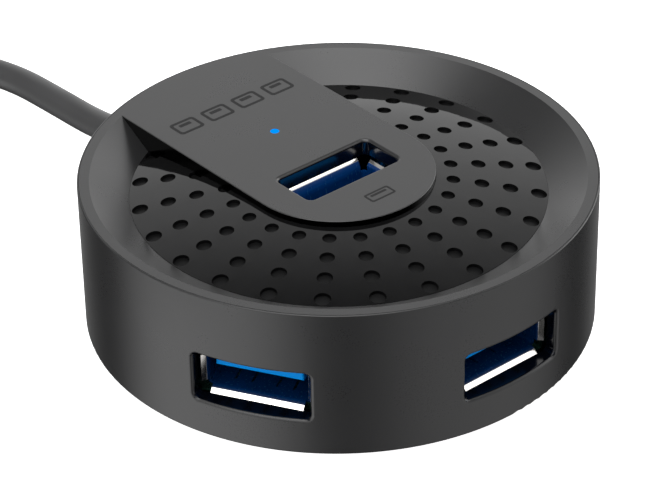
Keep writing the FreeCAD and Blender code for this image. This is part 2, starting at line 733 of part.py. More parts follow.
def conductors():
    """The lead's cores, fanned out from the boot's inner face to the solder pads at the board's edge."""
    cores = []
    for k in range(CORES):
        spread = k - (CORES - 1) / 2
        pad = (PAD_PITCH * spread, PAD_Y, BOARD_TOP + CORE_R + 0.02)
        neck = (NECK_PITCH * spread, BOOT_ANCHOR_Y, NECK_Z)
        cores.append(rod(pad, neck, CORE_R).cut(box(-10, 10, BOOT_ANCHOR_Y, 30, 0, 20)))
    return Part.makeCompound(cores)


# ---------------------------------------------------------------- lead
def strain_relief():
    profile = [
        (0.0, BOOT_NECK_Y),
        (BOOT_NECK_R, BOOT_NECK_Y),
        (BOOT_NECK_R, COLLAR_Y0),
        (COLLAR_R, COLLAR_Y0),
        (COLLAR_R, COLLAR_Y1),
        (RIB_START_R, COLLAR_Y1),
    ]
    y, rib_r = COLLAR_Y1, RIB_START_R
    while y < BOOT_END_Y - RIB_PITCH - NEAR:
        groove = (y + RIB_LONG, y + RIB_PITCH)
        profile += [(rib_r, groove[0]), (rib_r - RIB_DEEP, groove[0]), (rib_r - RIB_DEEP, groove[1])]
        y += RIB_PITCH
        rib_r -= RIB_DEEP / 5
        profile.append((rib_r, groove[1]))
    profile += [(rib_r, BOOT_END_Y), (0.0, BOOT_END_Y)]
    corners = [Vector(r, along, CORD_Z) for r, along in profile]
    face = Part.Face(Part.makePolygon(corners + corners[:1]))
    boot = face.revolve(Vector(0, 0, CORD_Z), Vector(0, 1, 0), 360)
    anchor = box(-ANCHOR_HALF_W, ANCHOR_HALF_W, BOOT_ANCHOR_Y, BOOT_NECK_Y, BOOT_BOTTOM, BOOT_TOP)
    flange = box(-FLANGE_HALF_W, FLANGE_HALF_W, BOOT_ANCHOR_Y, BOOT_FLANGE_Y, BOOT_BOTTOM, BOOT_TOP)
    return joined([boot, anchor, flange])


def route_wire(points):
    """Straight runs joined by tangent arcs, each as large as its shorter run allows."""
    points = [Vector(*p) for p in points]
    edges = []
    radii = []
    start = points[0]
    for before, corner, after in zip(points, points[1:], points[2:]):
        run_in, run_out = corner - before, after - corner
        back, ahead = Vector(run_in).normalize(), Vector(run_out).normalize()
        reach = ARC_SHARE * min(run_in.Length, run_out.Length)
        half_turn = back.getAngle(ahead) / 2
        radii.append(reach / math.tan(half_turn))
        enter, leave = corner - back * reach, corner + ahead * reach
        bisector = (ahead - back).normalize()
        middle = corner + bisector * (radii[-1] / math.cos(half_turn) - radii[-1])
        edges.append(Part.LineSegment(start, enter).toShape())
        edges.append(Part.Arc(enter, middle, leave).toShape())
        start = leave
    edges.append(Part.LineSegment(start, points[-1]).toShape())
    print("   radii", " ".join(f"{r:.0f}" for r in radii))
    return Part.Wire(edges)


def tube(points):
    wire = route_wire(points)
    first = Vector(*points[1]) - Vector(*points[0])
    section = Part.Wire(Part.Circle(Vector(*points[0]), first, CORD_R).toShape())
    solid = wire.makePipeShell([section], True, True)
    expected = math.pi * CORD_R ** 2 * wire.Length
    print(f"   length {wire.Length:.1f}  volume {solid.Volume:.1f}  expected {expected:.1f}")
    return Part.Solid(solid) if not solid.Solids else solid.Solids[0]


def coil_ring():
    ring = turned([
        (COIL_INNER, COIL_BOTTOM),
        (COIL_OUTER, COIL_BOTTOM),
        (COIL_OUTER, COIL_TOP),
        (COIL_INNER, COIL_TOP),
    ])
    ring = ring.makeFillet(COIL_CORNER, [e for e in ring.Edges if isinstance(e.Curve, Part.Circle)])
    ring.translate(Vector(COIL_X, COIL_Y, 0))
    return ring


def cord_coil():
    """The bundle of turns, with the short stretches where the lead runs into it and out of it."""
    lead_in, lead_out = CORD_ROUTE[-1], TAIL_ROUTE[0]
    run_in = rod((COIL_X + INTO_COIL, lead_in[1], lead_in[2]), lead_in, CORD_R)
    run_out = rod((lead_out[0], COIL_Y - INTO_COIL, lead_out[2]), lead_out, CORD_R)
    return joined([coil_ring(), run_in, run_out])


def cord_tie():
    middle = (COIL_INNER + COIL_OUTER) / 2
    across = COIL_OUTER - COIL_INNER + 2 * TIE_THICK
    band = middled(middle, 0, across, TIE_WIDTH, COIL_BOTTOM - TIE_THICK, COIL_TOP + TIE_THICK)
    band = band.makeFillet(COIL_CORNER, edges_along(band, Vector(0, 1, 0)))
    band.rotate(Vector(0, 0, 0), Vector(0, 0, 1), TIE_ANGLE)
    band.translate(Vector(COIL_X, COIL_Y, 0))
    return band.cut(coil_ring())


# ---------------------------------------------------------------- plug
def along_plug(width, height, corner, y0, y1):
    bar = rounded_bar(width, height, corner, y0, y1)
    bar.rotate(Vector(0, 0, 0), Vector(1, 0, 0), -90)
    bar.translate(Vector(PLUG_X, 0, PLUG_Z))
    return bar


def plug_overmold():
    body = along_plug(PLUG_BODY_W, PLUG_BODY_H, PLUG_CORNER, PLUG_FACE_Y, PLUG_BODY_Y)
    front = [e for e in body.Edges if e.BoundBox.YMax < PLUG_FACE_Y + NEAR]
    rear = [e for e in body.Edges if e.BoundBox.YMin > PLUG_BODY_Y - NEAR]
    body = body.makeFillet(PLUG_ROUND, front + rear)
    start, along = Vector(PLUG_X, PLUG_BODY_Y, PLUG_Z), Vector(0, 1, 0)
    boot = Part.makeCone(PLUG_BOOT_R0, PLUG_BOOT_R1, PLUG_BOOT_Y - PLUG_BODY_Y, start, along)
    back = PLUG_FACE_Y + PLUG_SHELL_IN
    socket = along_plug(PLUG_SHELL_W, PLUG_SHELL_H, PLUG_SHELL_CORNER, PLUG_FACE_Y - 1, back)
    return joined([body, boot]).cut(socket)


def plug_shell():
    back = PLUG_FACE_Y + PLUG_SHELL_IN
    outer = along_plug(PLUG_SHELL_W, PLUG_SHELL_H, PLUG_SHELL_CORNER, PLUG_TIP_Y, back)
    inner_w, inner_h = PLUG_SHELL_W - 2 * SHEET, PLUG_SHELL_H - 2 * SHEET
    inner = along_plug(inner_w, inner_h, PLUG_SHELL_CORNER / 2, PLUG_TIP_Y - 1, back - SHEET)
    shell = outer.cut(inner)
    window_y = PLUG_TIP_Y + WINDOW_FROM + WINDOW_SIDE / 2
    for x in (-SPRING_X, SPRING_X):
        shell = shell.cut(middled(PLUG_X + x, window_y, WINDOW_SIDE, WINDOW_SIDE, -10, 20))
    return shell


def plug_contacts():
    back = PLUG_FACE_Y + PLUG_CONTACT_IN
    rows = (
        (SLOW_CONTACTS, PLUG_SLOW_W / 2, PLUG_SLOW_TIP, PLUG_PLATE_TOP - CONTACT_T, PLUG_PLATE_TOP),
        (FAST_CONTACTS, PLUG_FAST_W / 2, PLUG_FAST_TIP, PLUG_PLATE_TOP, PLUG_PLATE_TOP + CONTACT_T),
    )
    strips = []
    for places, half, tip, z0, z1 in rows:
        strips += [box(PLUG_X + x - half, PLUG_X + x + half, PLUG_TIP_Y + tip, back, z0, z1) for x in places]
    return Part.makeCompound(strips)


def plug_insulator():
    low = PLUG_Z - PLUG_SHELL_H / 2 + SHEET + SLIP / 2
    half = PLUG_SHELL_W / 2 - SHEET - SLIP
    x0, x1 = PLUG_X - half, PLUG_X + half
    plate = box(x0, x1, PLUG_TIP_Y + SHEET, PLUG_FACE_Y, low, PLUG_PLATE_TOP)
    block = box(x0, x1, PLUG_FACE_Y, PLUG_FACE_Y + PLUG_BLOCK, low, 2 * PLUG_Z - low)
    body = joined([plate, block])
    return largest(body.cut(plug_contacts()).cut(plug_shell()))


# ---------------------------------------------------------------- every node
for build in (
    side_wall, top_cover, dome_plate, base_cover, rubber_feet, case_screws,
    main_board, hub_controller, crystal, voltage_regulator, bulk_capacitors, port_fuses,
    chip_capacitors, chip_resistors, status_led, light_pipe, conductors,
    strain_relief, cord_coil, cord_tie,
    plug_overmold, plug_shell, plug_insulator, plug_contacts,
):
    save(build.__name__, build())

for port, angle in SIDE_PORTS.items():
    frame = side_frame(angle)
    save(f"{port}_port_shell", placed(socket_shell(SIDE_DEPTH, True), frame))
    save(f"{port}_port_insulator", placed(socket_insulator(SIDE_DEPTH, True), frame))
    save(f"{port}_port_contacts", placed(socket_contacts(SIDE_DEPTH, True), frame))

save("top_port_shell", placed(socket_shell(TOP_DEPTH, False), TOP_FRAME))
save("top_port_insulator", placed(socket_insulator(TOP_DEPTH, False), TOP_FRAME))
save("top_port_contacts", placed(socket_contacts(TOP_DEPTH, False), TOP_FRAME))

save("cord", tube(CORD_ROUTE))
save("cord_tail", tube(TAIL_ROUTE))
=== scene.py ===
"""The round hub's looks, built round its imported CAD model. Metres, +Z up, in the model's own frame."""

import math

import bpy
from mathutils import Matrix, Vector


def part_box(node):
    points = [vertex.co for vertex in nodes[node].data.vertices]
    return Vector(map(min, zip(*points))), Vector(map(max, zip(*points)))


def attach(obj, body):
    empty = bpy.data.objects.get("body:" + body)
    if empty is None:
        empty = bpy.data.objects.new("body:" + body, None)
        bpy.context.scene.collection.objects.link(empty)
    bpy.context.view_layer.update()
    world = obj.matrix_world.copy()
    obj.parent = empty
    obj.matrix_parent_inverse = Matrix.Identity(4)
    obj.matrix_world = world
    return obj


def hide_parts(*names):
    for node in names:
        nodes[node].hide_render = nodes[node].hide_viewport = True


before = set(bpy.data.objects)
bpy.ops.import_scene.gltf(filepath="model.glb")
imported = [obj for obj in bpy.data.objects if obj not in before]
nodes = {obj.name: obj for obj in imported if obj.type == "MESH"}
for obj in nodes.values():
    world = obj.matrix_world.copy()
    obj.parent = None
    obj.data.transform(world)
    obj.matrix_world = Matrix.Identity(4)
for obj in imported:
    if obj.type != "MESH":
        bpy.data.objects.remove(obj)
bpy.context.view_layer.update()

MM = 0.001

# ---------------------------------------------------------------- camera
CASE_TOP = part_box("top_cover")[1].z
VIEW_AZIMUTH = math.radians(-40.228)
VIEW_ELEVATION = math.radians(31.456)
VIEW_DISTANCE = 0.35992
AIM_YAW = math.radians(-0.280)
AIM_PITCH = math.radians(1.429)
AIM_ROLL = math.radians(0.852)
LENS = 162.73
SENSOR_WIDTH = 36.0


def make_camera():
    """Looks at the middle of the case's top face, then turns aside by a small yaw, pitch and roll."""
    data = bpy.data.cameras.new("camera")
    data.lens = LENS
    data.sensor_width = SENSOR_WIDTH
    data.clip_start = 0.01
    camera = bpy.data.objects.new("camera", data)
    bpy.context.scene.collection.objects.link(camera)
    e = VIEW_ELEVATION
    away = Vector((0.0, -math.cos(e), math.sin(e)))
    level = Matrix(((1.0, 0.0, 0.0), (0.0, math.sin(e), math.cos(e)), tuple(away)))
    roll = Matrix.Rotation(AIM_ROLL, 3, "Z")
    pitch = Matrix.Rotation(AIM_PITCH, 3, "X")
    yaw = Matrix.Rotation(AIM_YAW, 3, "Y")
    aim = roll @ pitch @ yaw
    round_z = Matrix.Rotation(VIEW_AZIMUTH, 3, "Z")
    camera.rotation_mode = "QUATERNION"
    camera.rotation_quaternion = (round_z @ (aim @ level).transposed()).to_quaternion()
    camera.location = round_z @ (away * VIEW_DISTANCE) + Vector((0.0, 0.0, CASE_TOP))
    bpy.context.scene.camera = camera


make_camera()

# ---------------------------------------------------------------- lead
CORD_R = 2.0 * MM
# part.py's route, from the strain relief to the coil, and from the coil to the plug
CORD_ROUTE = (
    (0.0, 38.0, 5.2),
    (0.0, 44.5, 5.2),
    (0.2, 51.5, 3.7),
    (0.1, 60.0, 3.5),
    (0.0, 71.0, 3.0),
    (-3.4, 81.4, 2.4),
    (-10.9, 89.7, 2.2),
    (-21.4, 94.1, 2.7),
    (-32.4, 94.1, 2.7),
)
TAIL_ROUTE = (
    (-73.0, 54.0, 6.5),
    (-73.0, 47.5, 6.5),
    (-73.0, 38.8, 4.0),
    (-73.0, 32.3, 4.0),
)
COIL_X, COIL_Y = -48.0, 69.1
OUTER_TURN_R, INNER_TURN_R = 25.0, 21.0
LOW_TURN_Z, HIGH_TURN_Z = 2.6, 6.6
COIL_TURNS, TURN_STEPS = 3.25, 24
# in degrees: where the winding starts, where it moves inward, up and outward, and over how far each move goes
COIL_START, INWARD_AT, UPWARD_AT, OUTWARD_AT, MOVE_OVER = 90.0, 390.0, 690.0, 990.0, 60.0


def smooth(t):
    t = min(max(t, 0.0), 1.0)
    return t * t * (3.0 - 2.0 * t)


def coil_points():
    """The wound turns: outer low, inner low, inner high and out over the first turn, counter-clockwise."""
    bulge = 1.0 / math.cos(math.pi / TURN_STEPS)
    points = []
    for k in range(int(COIL_TURNS * TURN_STEPS) + 1):
        degrees = COIL_START + 360.0 * k / TURN_STEPS
        inward = smooth((degrees - INWARD_AT) / MOVE_OVER) - smooth((degrees - OUTWARD_AT) / MOVE_OVER)
        rise = smooth((degrees - UPWARD_AT) / MOVE_OVER)
        r = (OUTER_TURN_R + (INNER_TURN_R - OUTER_TURN_R) * inward) * bulge
        z = LOW_TURN_Z + (HIGH_TURN_Z - LOW_TURN_Z) * rise
        a = math.radians(degrees)
        points.append((COIL_X + r * math.cos(a), COIL_Y + r * math.sin(a), z))
    return points


def make_cord():
    points = list(CORD_ROUTE) + coil_points() + list(TAIL_ROUTE)
    curve = bpy.data.curves.new("lead", "CURVE")
    curve.dimensions = "3D"
    # each point's radius times the bevel's depth of 1 m is the cord's radius
    curve.bevel_depth = 1.0
    curve.bevel_resolution = 10
    curve.use_fill_caps = True
    spline = curve.splines.new("NURBS")
    spline.points.add(len(points) - 1)
    for point, (x, y, z) in zip(spline.points, points):
        point.co = (x * MM, y * MM, z * MM, 1.0)
        point.radius = CORD_R
    spline.order_u = 3
    spline.use_endpoint_u = True
    spline.resolution_u = 8
    spline.use_smooth = True
    cord = bpy.data.objects.new("lead", curve)
    bpy.context.scene.collection.objects.link(cord)
    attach(cord, "root")
    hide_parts("cord", "cord_coil", "cord_tail")
    return cord


cord = make_cord()


# ---------------------------------------------------------------- finishes
class Finish:
    """A Principled material whose noise and masks stay put on the model."""

    def __init__(self, name, color, roughness, metallic=0.0, specular=0.5):
        self.material = bpy.data.materials.new(name)
        self.material.use_nodes = True
        self.tree = self.material.node_tree
        self.shader = self.tree.nodes["Principled BSDF"]
        self.shader.inputs["Base Color"].default_value = (*color, 1.0)
        self.shader.inputs["Roughness"].default_value = roughness
        self.shader.inputs["Metallic"].default_value = metallic
        self.shader.inputs["Specular IOR Level"].default_value = specular
        self.place = self.node("ShaderNodeTexCoord").outputs["Object"]

    def node(self, kind, **settings):
        made = self.tree.nodes.new(kind)
        for key, value in settings.items():
            setattr(made, key, value)
        return made

    def feed(self, socket, value):
        """Sets a socket to a number or a colour, or links another node's output to it."""
        if isinstance(value, bpy.types.NodeSocket):
            self.tree.links.new(value, socket)
        else:
            socket.default_value = value

    def math(self, operation, a, b=0.0):
        made = self.node("ShaderNodeMath", operation=operation)
        self.feed(made.inputs[0], a)
        self.feed(made.inputs[1], b)
        return made.outputs[0]

    def along(self, direction):
        """How far a point lies along a direction, in metres."""
        made = self.node("ShaderNodeVectorMath", operation="DOT_PRODUCT")
        self.feed(made.inputs[0], self.place)
        made.inputs[1].default_value = direction
        return made.outputs["Value"]

    def step(self, value, low, high, to_low=0.0, to_high=1.0):
        """A value taken smoothly from one level to another between two limits."""
        made = self.node("ShaderNodeMapRange", interpolation_type="SMOOTHSTEP")
        for socket, level in zip(made.inputs, (value, low, high, to_low, to_high)):
            self.feed(socket, level)
        return made.outputs["Result"]

    def noise(self, size, detail=3.0, stretch=(1.0, 1.0, 1.0)):
        """Noise with features of a size in metres, stretched along the axes."""
        scaled = self.node("ShaderNodeVectorMath", operation="MULTIPLY")
        self.feed(scaled.inputs[0], self.place)
        scaled.inputs[1].default_value = tuple(1.0 / s for s in stretch)
        made = self.node("ShaderNodeTexNoise")
        self.feed(made.inputs["Vector"], scaled.outputs["Vector"])
        made.inputs["Scale"].default_value = 1.0 / size
        made.inputs["Detail"].default_value = detail
        return made.outputs["Fac"]

    def cells(self, size):
        made = self.node("ShaderNodeTexVoronoi")
        self.feed(made.inputs["Vector"], self.place)
        made.inputs["Scale"].default_value = 1.0 / size
        return made.outputs["Distance"]

    def mix(self, factor, a, b):
        made = self.node("ShaderNodeMix", data_type="RGBA")
        self.feed(made.inputs["Factor"], factor)
        for socket, color in ((made.inputs[6], a), (made.inputs[7], b)):
            self.feed(socket, color if isinstance(color, bpy.types.NodeSocket) else (*color, 1.0))
        return made.outputs[2]

    def color(self, value):
        self.feed(self.shader.inputs["Base Color"], value)

    def roughness(self, value):
        self.feed(self.shader.inputs["Roughness"], value)

    def relief(self, height, depth):
        """Bumps of a depth in metres, on top of any relief made before."""
        made = self.node("ShaderNodeBump")
        made.inputs["Distance"].default_value = depth
        self.feed(made.inputs["Height"], height)
        before = self.shader.inputs["Normal"]
        if before.is_linked:
            self.tree.links.new(before.links[0].from_socket, made.inputs["Normal"])
        self.tree.links.new(made.outputs["Normal"], before)

    def inside(self, centre, axes, halves, edge=0.02 * MM):
        """1 within a box given by its centre, its axes and its half sizes, and 0 outside."""
        value = 1.0
        for axis, half in zip(axes, halves):
            offset = self.math("SUBTRACT", self.along(axis), Vector(axis).dot(Vector(centre)))
            near = self.step(self.math("ABSOLUTE", offset), half, half + edge, 1.0, 0.0)
            value = self.math("MULTIPLY", value, near)
        return value

    def upright(self):
        """1 on faces that stand upright and 0 on the rest."""
        made = self.node("ShaderNodeVectorMath", operation="DOT_PRODUCT")
        self.feed(made.inputs[0], self.node("ShaderNodeNewGeometry").outputs["True Normal"])
        made.inputs[1].default_value = UP
        return self.step(self.math("ABSOLUTE", made.outputs["Value"]), 0.3, 0.5, 1.0, 0.0)

    def sunk(self, centre, radius, edge=0.05 * MM):
        """1 on what lies below a sphere's surface by more than twice the edge, and 0 on the surface."""
        made = self.node("ShaderNodeVectorMath", operation="DISTANCE")
        self.feed(made.inputs[0], self.place)
        made.inputs[1].default_value = centre
        return self.step(made.outputs["Value"], radius - 2 * edge, radius - edge, 1.0, 0.0)


def shade(color, factor):
    return tuple(c * factor for c in color)


def give(material, *names):
    for name in names:
        slots = nodes[name].data.materials
        slots.clear()
        slots.append(material)


UP = (0.0, 0.0, 1.0)
PORT_Z = 8.45 * MM
MOUTH_R = 29.5 * MM
TOP_MOUTH_Z = 17.75 * MM
SIDE_PORTS = {"left": -150.0, "front": -90.0, "right": -30.0}
OPENING_HALF_W, OPENING_HALF_H = 7.25 * MM, 3.25 * MM
# half sizes of the box round a cut-out, a little wider than it, and its reach along the socket
CUTOUT_MARGIN, CUTOUT_REACH = 0.01 * MM, 4 * MM
CUTOUT_HALVES = (OPENING_HALF_W + CUTOUT_MARGIN, OPENING_HALF_H + CUTOUT_MARGIN, CUTOUT_REACH)
SIDE_LIP_DEEP, TOP_LIP_DEEP = 0.46 * MM, 0.26 * MM
BOARD_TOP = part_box("main_board")[1].z


def port_axes(degrees):
    """Across, up and out of a side socket."""
    a = math.radians(degrees)
    out = (math.cos(a), math.sin(a), 0.0)
    return (-out[1], out[0], 0.0), UP, out


# ---- plastics
CHARCOAL = (0.0205, 0.0205, 0.0210)
DOME_GREY = (0.0042, 0.0042, 0.0044)
# painted shade on the top cover's upright faces
SHADE_BLACK = (0.0014, 0.0014, 0.0016)
# painted shade in the dome's dimples
DIMPLE_SHADE_GREY = (0.0055, 0.0055, 0.0058)
DOME_R, DOME_APEX = 124.0 * MM, 19.8 * MM
# painted shade inside the cut-outs, tinted navy as a painted reflection of the sockets' blue insulators
CUTOUT_SHADE_NAVY = (0.0016, 0.0026, 0.0060)
RUBBER_GREY = (0.013, 0.013, 0.0135)
INK_BLACK, INK_DARK, INK_PALE = (0.0042, 0.0042, 0.0046), (0.0036, 0.0036, 0.0040), (0.0052, 0.0052, 0.0056)
GLOSSY, POLISHED, SATIN, MATT = 0.05, 0.16, 0.30, 0.42
GRAIN, GRAIN_DEPTH = 0.16 * MM, 0.0008 * MM


def add_grain(finish, color, roughness, grain, depth):
    """Moulded plastic: a fine even grain, and broad faint changes of tone and gloss."""
    fine = finish.noise(grain, detail=2.0)
    broad = finish.noise(9 * MM, detail=2.0)
    tone = finish.mix(broad, shade(color, 0.93), shade(color, 1.07))
    finish.color(finish.mix(finish.step(fine, 0.35, 0.65), tone, shade(color, 1.12)))
    level = finish.step(fine, 0.3, 0.7, roughness - 0.02, roughness + 0.02)
    rough = finish.math("ADD", level, finish.step(broad, 0.3, 0.7, -0.012, 0.012))
    finish.roughness(rough)
    finish.relief(fine, depth)
    return rough


def moulded(name, color, roughness, grain=GRAIN, depth=GRAIN_DEPTH):
    finish = Finish(name, color, roughness)
    add_grain(finish, color, roughness, grain, depth)
    return finish.material


def add_painted_shade(finish, within, color, roughness, dark_roughness, faint=1.0):
    """Paints shade on a masked part of a plastic: a darker colour, and a reflection dimmed through the
    metallic input. faint is how far its reflection fades, from 0 to 1.
    """
    plain = finish.shader.inputs["Base Color"].links[0].from_socket
    finish.color(finish.mix(within, plain, color))
    finish.roughness(finish.step(within, 0.0, 1.0, roughness, dark_roughness))
    finish.feed(finish.shader.inputs["Metallic"], finish.math("MULTIPLY", within, faint))


def side_boxes():
    """The centre, axes and half sizes of the box round each side socket's cut-out."""
    boxes = []
    for degrees in SIDE_PORTS.values():
        axes = port_axes(degrees)
        centre = tuple(MOUTH_R * v for v in axes[2][:2]) + (PORT_Z,)
        boxes.append((centre, axes, CUTOUT_HALVES))
    return boxes


def wall_plastic():
    """Charcoal plastic whose three cut-outs have polished walls painted with shade: near-black navy with a
    dimmed reflection, the navy a painted reflection of the sockets' blue insulators.
    """
    finish = Finish("side_wall_plastic", CHARCOAL, SATIN)
    rough = add_grain(finish, CHARCOAL, SATIN, GRAIN, GRAIN_DEPTH)
    within = 0.0
    for centre, axes, halves in side_boxes():
        within = finish.math("MAXIMUM", within, finish.inside(centre, axes, halves))
    # painted shade on the cut-outs' walls: near-black navy, with their reflection dimmed
    add_painted_shade(finish, within, CUTOUT_SHADE_NAVY, rough, POLISHED, faint=0.4)
    return finish.material


def cover_plastic():
    """Charcoal plastic with painted shade on its upright faces: near black, with their reflection dimmed.
    Only the walls of its cut-out, painted a shaded navy, still reflect well.
    """
    finish = Finish("top_cover_plastic", CHARCOAL, SATIN, specular=0.62)
    rough = add_grain(finish, CHARCOAL, SATIN, GRAIN, GRAIN_DEPTH)
    upright = finish.upright()
    axes = ((1.0, 0.0, 0.0), (0.0, 1.0, 0.0), UP)
    cutout = finish.inside((0.0, 0.0, CASE_TOP), axes, CUTOUT_HALVES)
    faint = finish.math("SUBTRACT", 1.0, finish.math("MULTIPLY", cutout, 0.9))
    # painted shade on the upright faces: black, and navy in the cut-out
    add_painted_shade(finish, upright, finish.mix(cutout, SHADE_BLACK, CUTOUT_SHADE_NAVY), rough, POLISHED, faint)
    return finish.material


def dome_plastic():
    """Glossy dark plastic with painted shade in its dimples: matt, with their reflection dimmed."""
    finish = Finish("dome_plastic", DOME_GREY, GLOSSY, specular=0.40)
    rough = add_grain(finish, DOME_GREY, GLOSSY, 0.2 * MM, 0.0001 * MM)
    dimple = finish.sunk((0.0, 0.0, DOME_APEX - DOME_R), DOME_R)
    # painted shade in the dimples: a matt grey whose reflection is dimmed
    add_painted_shade(finish, dimple, DIMPLE_SHADE_GREY, rough, MATT, faint=0.55)
    return finish.material


def rubber(name, color, roughness=0.62):
    finish = Finish(name, color, roughness, specular=0.35)
    speck = finish.cells(0.35 * MM)
    finish.color(finish.mix(finish.noise(4 * MM), shade(color, 0.85), shade(color, 1.2)))
    finish.roughness(finish.step(finish.noise(1.2 * MM), 0.3, 0.7, roughness - 0.06, roughness + 0.08))
    finish.relief(speck, 0.012 * MM)
    return finish.material


# ---- metals
NICKEL = (0.86, 0.84, 0.81)
TIN = (0.66, 0.66, 0.64)
GOLD = (0.86, 0.62, 0.26)
ALUMINIUM = (0.74, 0.75, 0.76)
# painted shade inside the socket shells: dark blue, a painted reflection of the blue insulators
SIDE_SHELL_SHADE = (0.0003, 0.0200, 0.0820)
TOP_SHELL_SHADE = (0.0003, 0.0290, 0.1280)


def metal(name, color, roughness, stretch=(1.0, 1.0, 1.0), size=0.3 * MM):
    """Metal with fine streaks along the axis that is stretched most."""
    finish = Finish(name, color, roughness, metallic=1.0)
    streaks = finish.noise(size, stretch=stretch)
    stains = finish.noise(3 * MM)
    finish.color(finish.mix(stains, shade(color, 0.92), color))
    finish.roughness(finish.step(streaks, 0.3, 0.7, roughness * 0.75, roughness * 1.3))
    finish.relief(streaks, 0.0008 * MM)
    return finish.material


def shell_metal(name, out, lip_edge, shade_navy):
    """Bright pressed lips at the mouth, and painted shade on everything deeper than their edge: a dark,
    non-metallic blue standing for the shaded steel's reflection of the blue insulator.
    """
    finish = Finish(name, NICKEL, 0.14)
    lip = finish.step(finish.along(out), lip_edge - 0.06 * MM, lip_edge)
    streaks = finish.noise(0.12 * MM, stretch=(3.0, 3.0, 12.0))
    cloud = finish.noise(2.5 * MM)
    # painted shade and a painted blue reflection on the shell's inside, which is not metallic
    inner = finish.mix(cloud, shade(shade_navy, 0.8), shade(shade_navy, 1.2))
    bright = finish.mix(cloud, shade(NICKEL, 0.96), NICKEL)
    finish.color(finish.mix(lip, inner, bright))
    finish.feed(finish.shader.inputs["Metallic"], lip)
    level = finish.step(streaks, 0.3, 0.7, 0.12, 0.18)
    finish.roughness(finish.math("ADD", level, finish.step(lip, 0.0, 1.0, 0.1, 0.0)))
    finish.relief(streaks, 0.0004 * MM)
    return finish.material


# ---- blue mouldings, board, parts and lead
BLUE = (0.0, 0.32, 0.95)
MASK_GREEN = (0.003, 0.012, 0.009)
EPOXY = (0.014, 0.014, 0.015)
CERAMIC = (0.42, 0.27, 0.15)
CORD_GREY = (0.045, 0.045, 0.046)
STRAP_BLACK = (0.010, 0.010, 0.011)
LED_BLUE = (0.0, 0.30, 1.0)
CORE_COLORS = (
    (0.5, 0.01, 0.01),  # red
    (0.7, 0.7, 0.7),  # white
    (0.01, 0.3, 0.03),  # green
    (0.01, 0.05, 0.5),  # blue
    (0.7, 0.5, 0.02),  # yellow
    (0.2, 0.02, 0.3),  # purple
    (0.7, 0.2, 0.02),  # orange
    (0.2, 0.2, 0.2),  # grey
    (0.6, 0.6, 0.6),  # bare
    (0.01, 0.01, 0.01),  # black
)


def insulator_blue():
    finish = Finish("insulator_blue", BLUE, 0.4, specular=0.06)
    fine = finish.noise(0.1 * MM)
    finish.color(finish.mix(finish.noise(2 * MM), shade(BLUE, 0.9), shade(BLUE, 1.08)))
    finish.roughness(finish.step(fine, 0.3, 0.7, 0.36, 0.46))
    finish.relief(fine, 0.0008 * MM)
    return finish.material


def solder_mask():
    """Dark lacquer over raised copper tracks."""
    finish = Finish("solder_mask", MASK_GREEN, 0.28)
    tracks = finish.node("ShaderNodeTexWave", bands_direction="DIAGONAL")
    finish.feed(tracks.inputs["Vector"], finish.place)
    tracks.inputs["Scale"].default_value = 330.0
    tracks.inputs["Distortion"].default_value = 3.0
    tracks.inputs["Detail"].default_value = 0.0
    raised = finish.step(tracks.outputs["Fac"], 0.55, 0.65)
    finish.color(finish.mix(raised, MASK_GREEN, shade(MASK_GREEN, 2.2)))
    finish.roughness(finish.step(finish.noise(0.5 * MM), 0.3, 0.7, 0.22, 0.36))
    finish.relief(raised, 0.03 * MM)
    return finish.material


def leaded(name, body_color, low_z):
    """A moulded body whose feet, below a height, are tinned metal."""
    finish = Finish(name, body_color, 0.5)
    feet = finish.step(finish.along(UP), low_z, low_z + 0.02 * MM, 1.0, 0.0)
    finish.color(finish.mix(feet, shade(body_color, 1.1), TIN))
    finish.feed(finish.shader.inputs["Metallic"], feet)
    finish.roughness(finish.step(finish.noise(0.2 * MM), 0.3, 0.7, 0.4, 0.55))
    finish.relief(finish.noise(0.1 * MM), 0.002 * MM)
    return finish.material


def core_colors():
    """The cores' insulation: one colour to each core, counted across the fan."""
    finish = Finish("core_insulation", (0.5, 0.5, 0.5), 0.4)
    pad_y, neck_y, pad_pitch, neck_pitch = 19.6 * MM, 24.5 * MM, 1.15 * MM, 0.98 * MM
    pitch = finish.step(finish.along((0, 1, 0)), pad_y, neck_y, pad_pitch, neck_pitch)
    pitch.node.interpolation_type = "LINEAR"
    place = finish.math("DIVIDE", finish.along((1, 0, 0)), pitch)
    cores = len(CORE_COLORS)
    ramp = finish.node("ShaderNodeValToRGB")
    finish.feed(ramp.inputs["Fac"], finish.math("DIVIDE", finish.math("ADD", place, cores / 2), cores))
    ramp.color_ramp.interpolation = "CONSTANT"
    stops = ramp.color_ramp.elements
    while len(stops) < cores:
        stops.new(0.5)
    for k, color in enumerate(CORE_COLORS):
        stops[k].position = k / cores
        stops[k].color = (*color, 1.0)
    finish.color(ramp.outputs["Color"])
    finish.roughness(finish.step(finish.noise(0.3 * MM), 0.3, 0.7, 0.34, 0.46))
    return finish.material


def cord_jacket():
    """Extruded jacket: faint draw lines and a soft, slightly uneven gloss."""
    finish = Finish("cord_jacket", CORD_GREY, 0.42)
    fine = finish.noise(0.12 * MM)
    broad = finish.noise(5 * MM)
    finish.color(finish.mix(broad, shade(CORD_GREY, 0.88), shade(CORD_GREY, 1.1)))
    finish.roughness(finish.step(broad, 0.3, 0.7, 0.38, 0.48))
    finish.relief(fine, 0.002 * MM)
    return finish.material


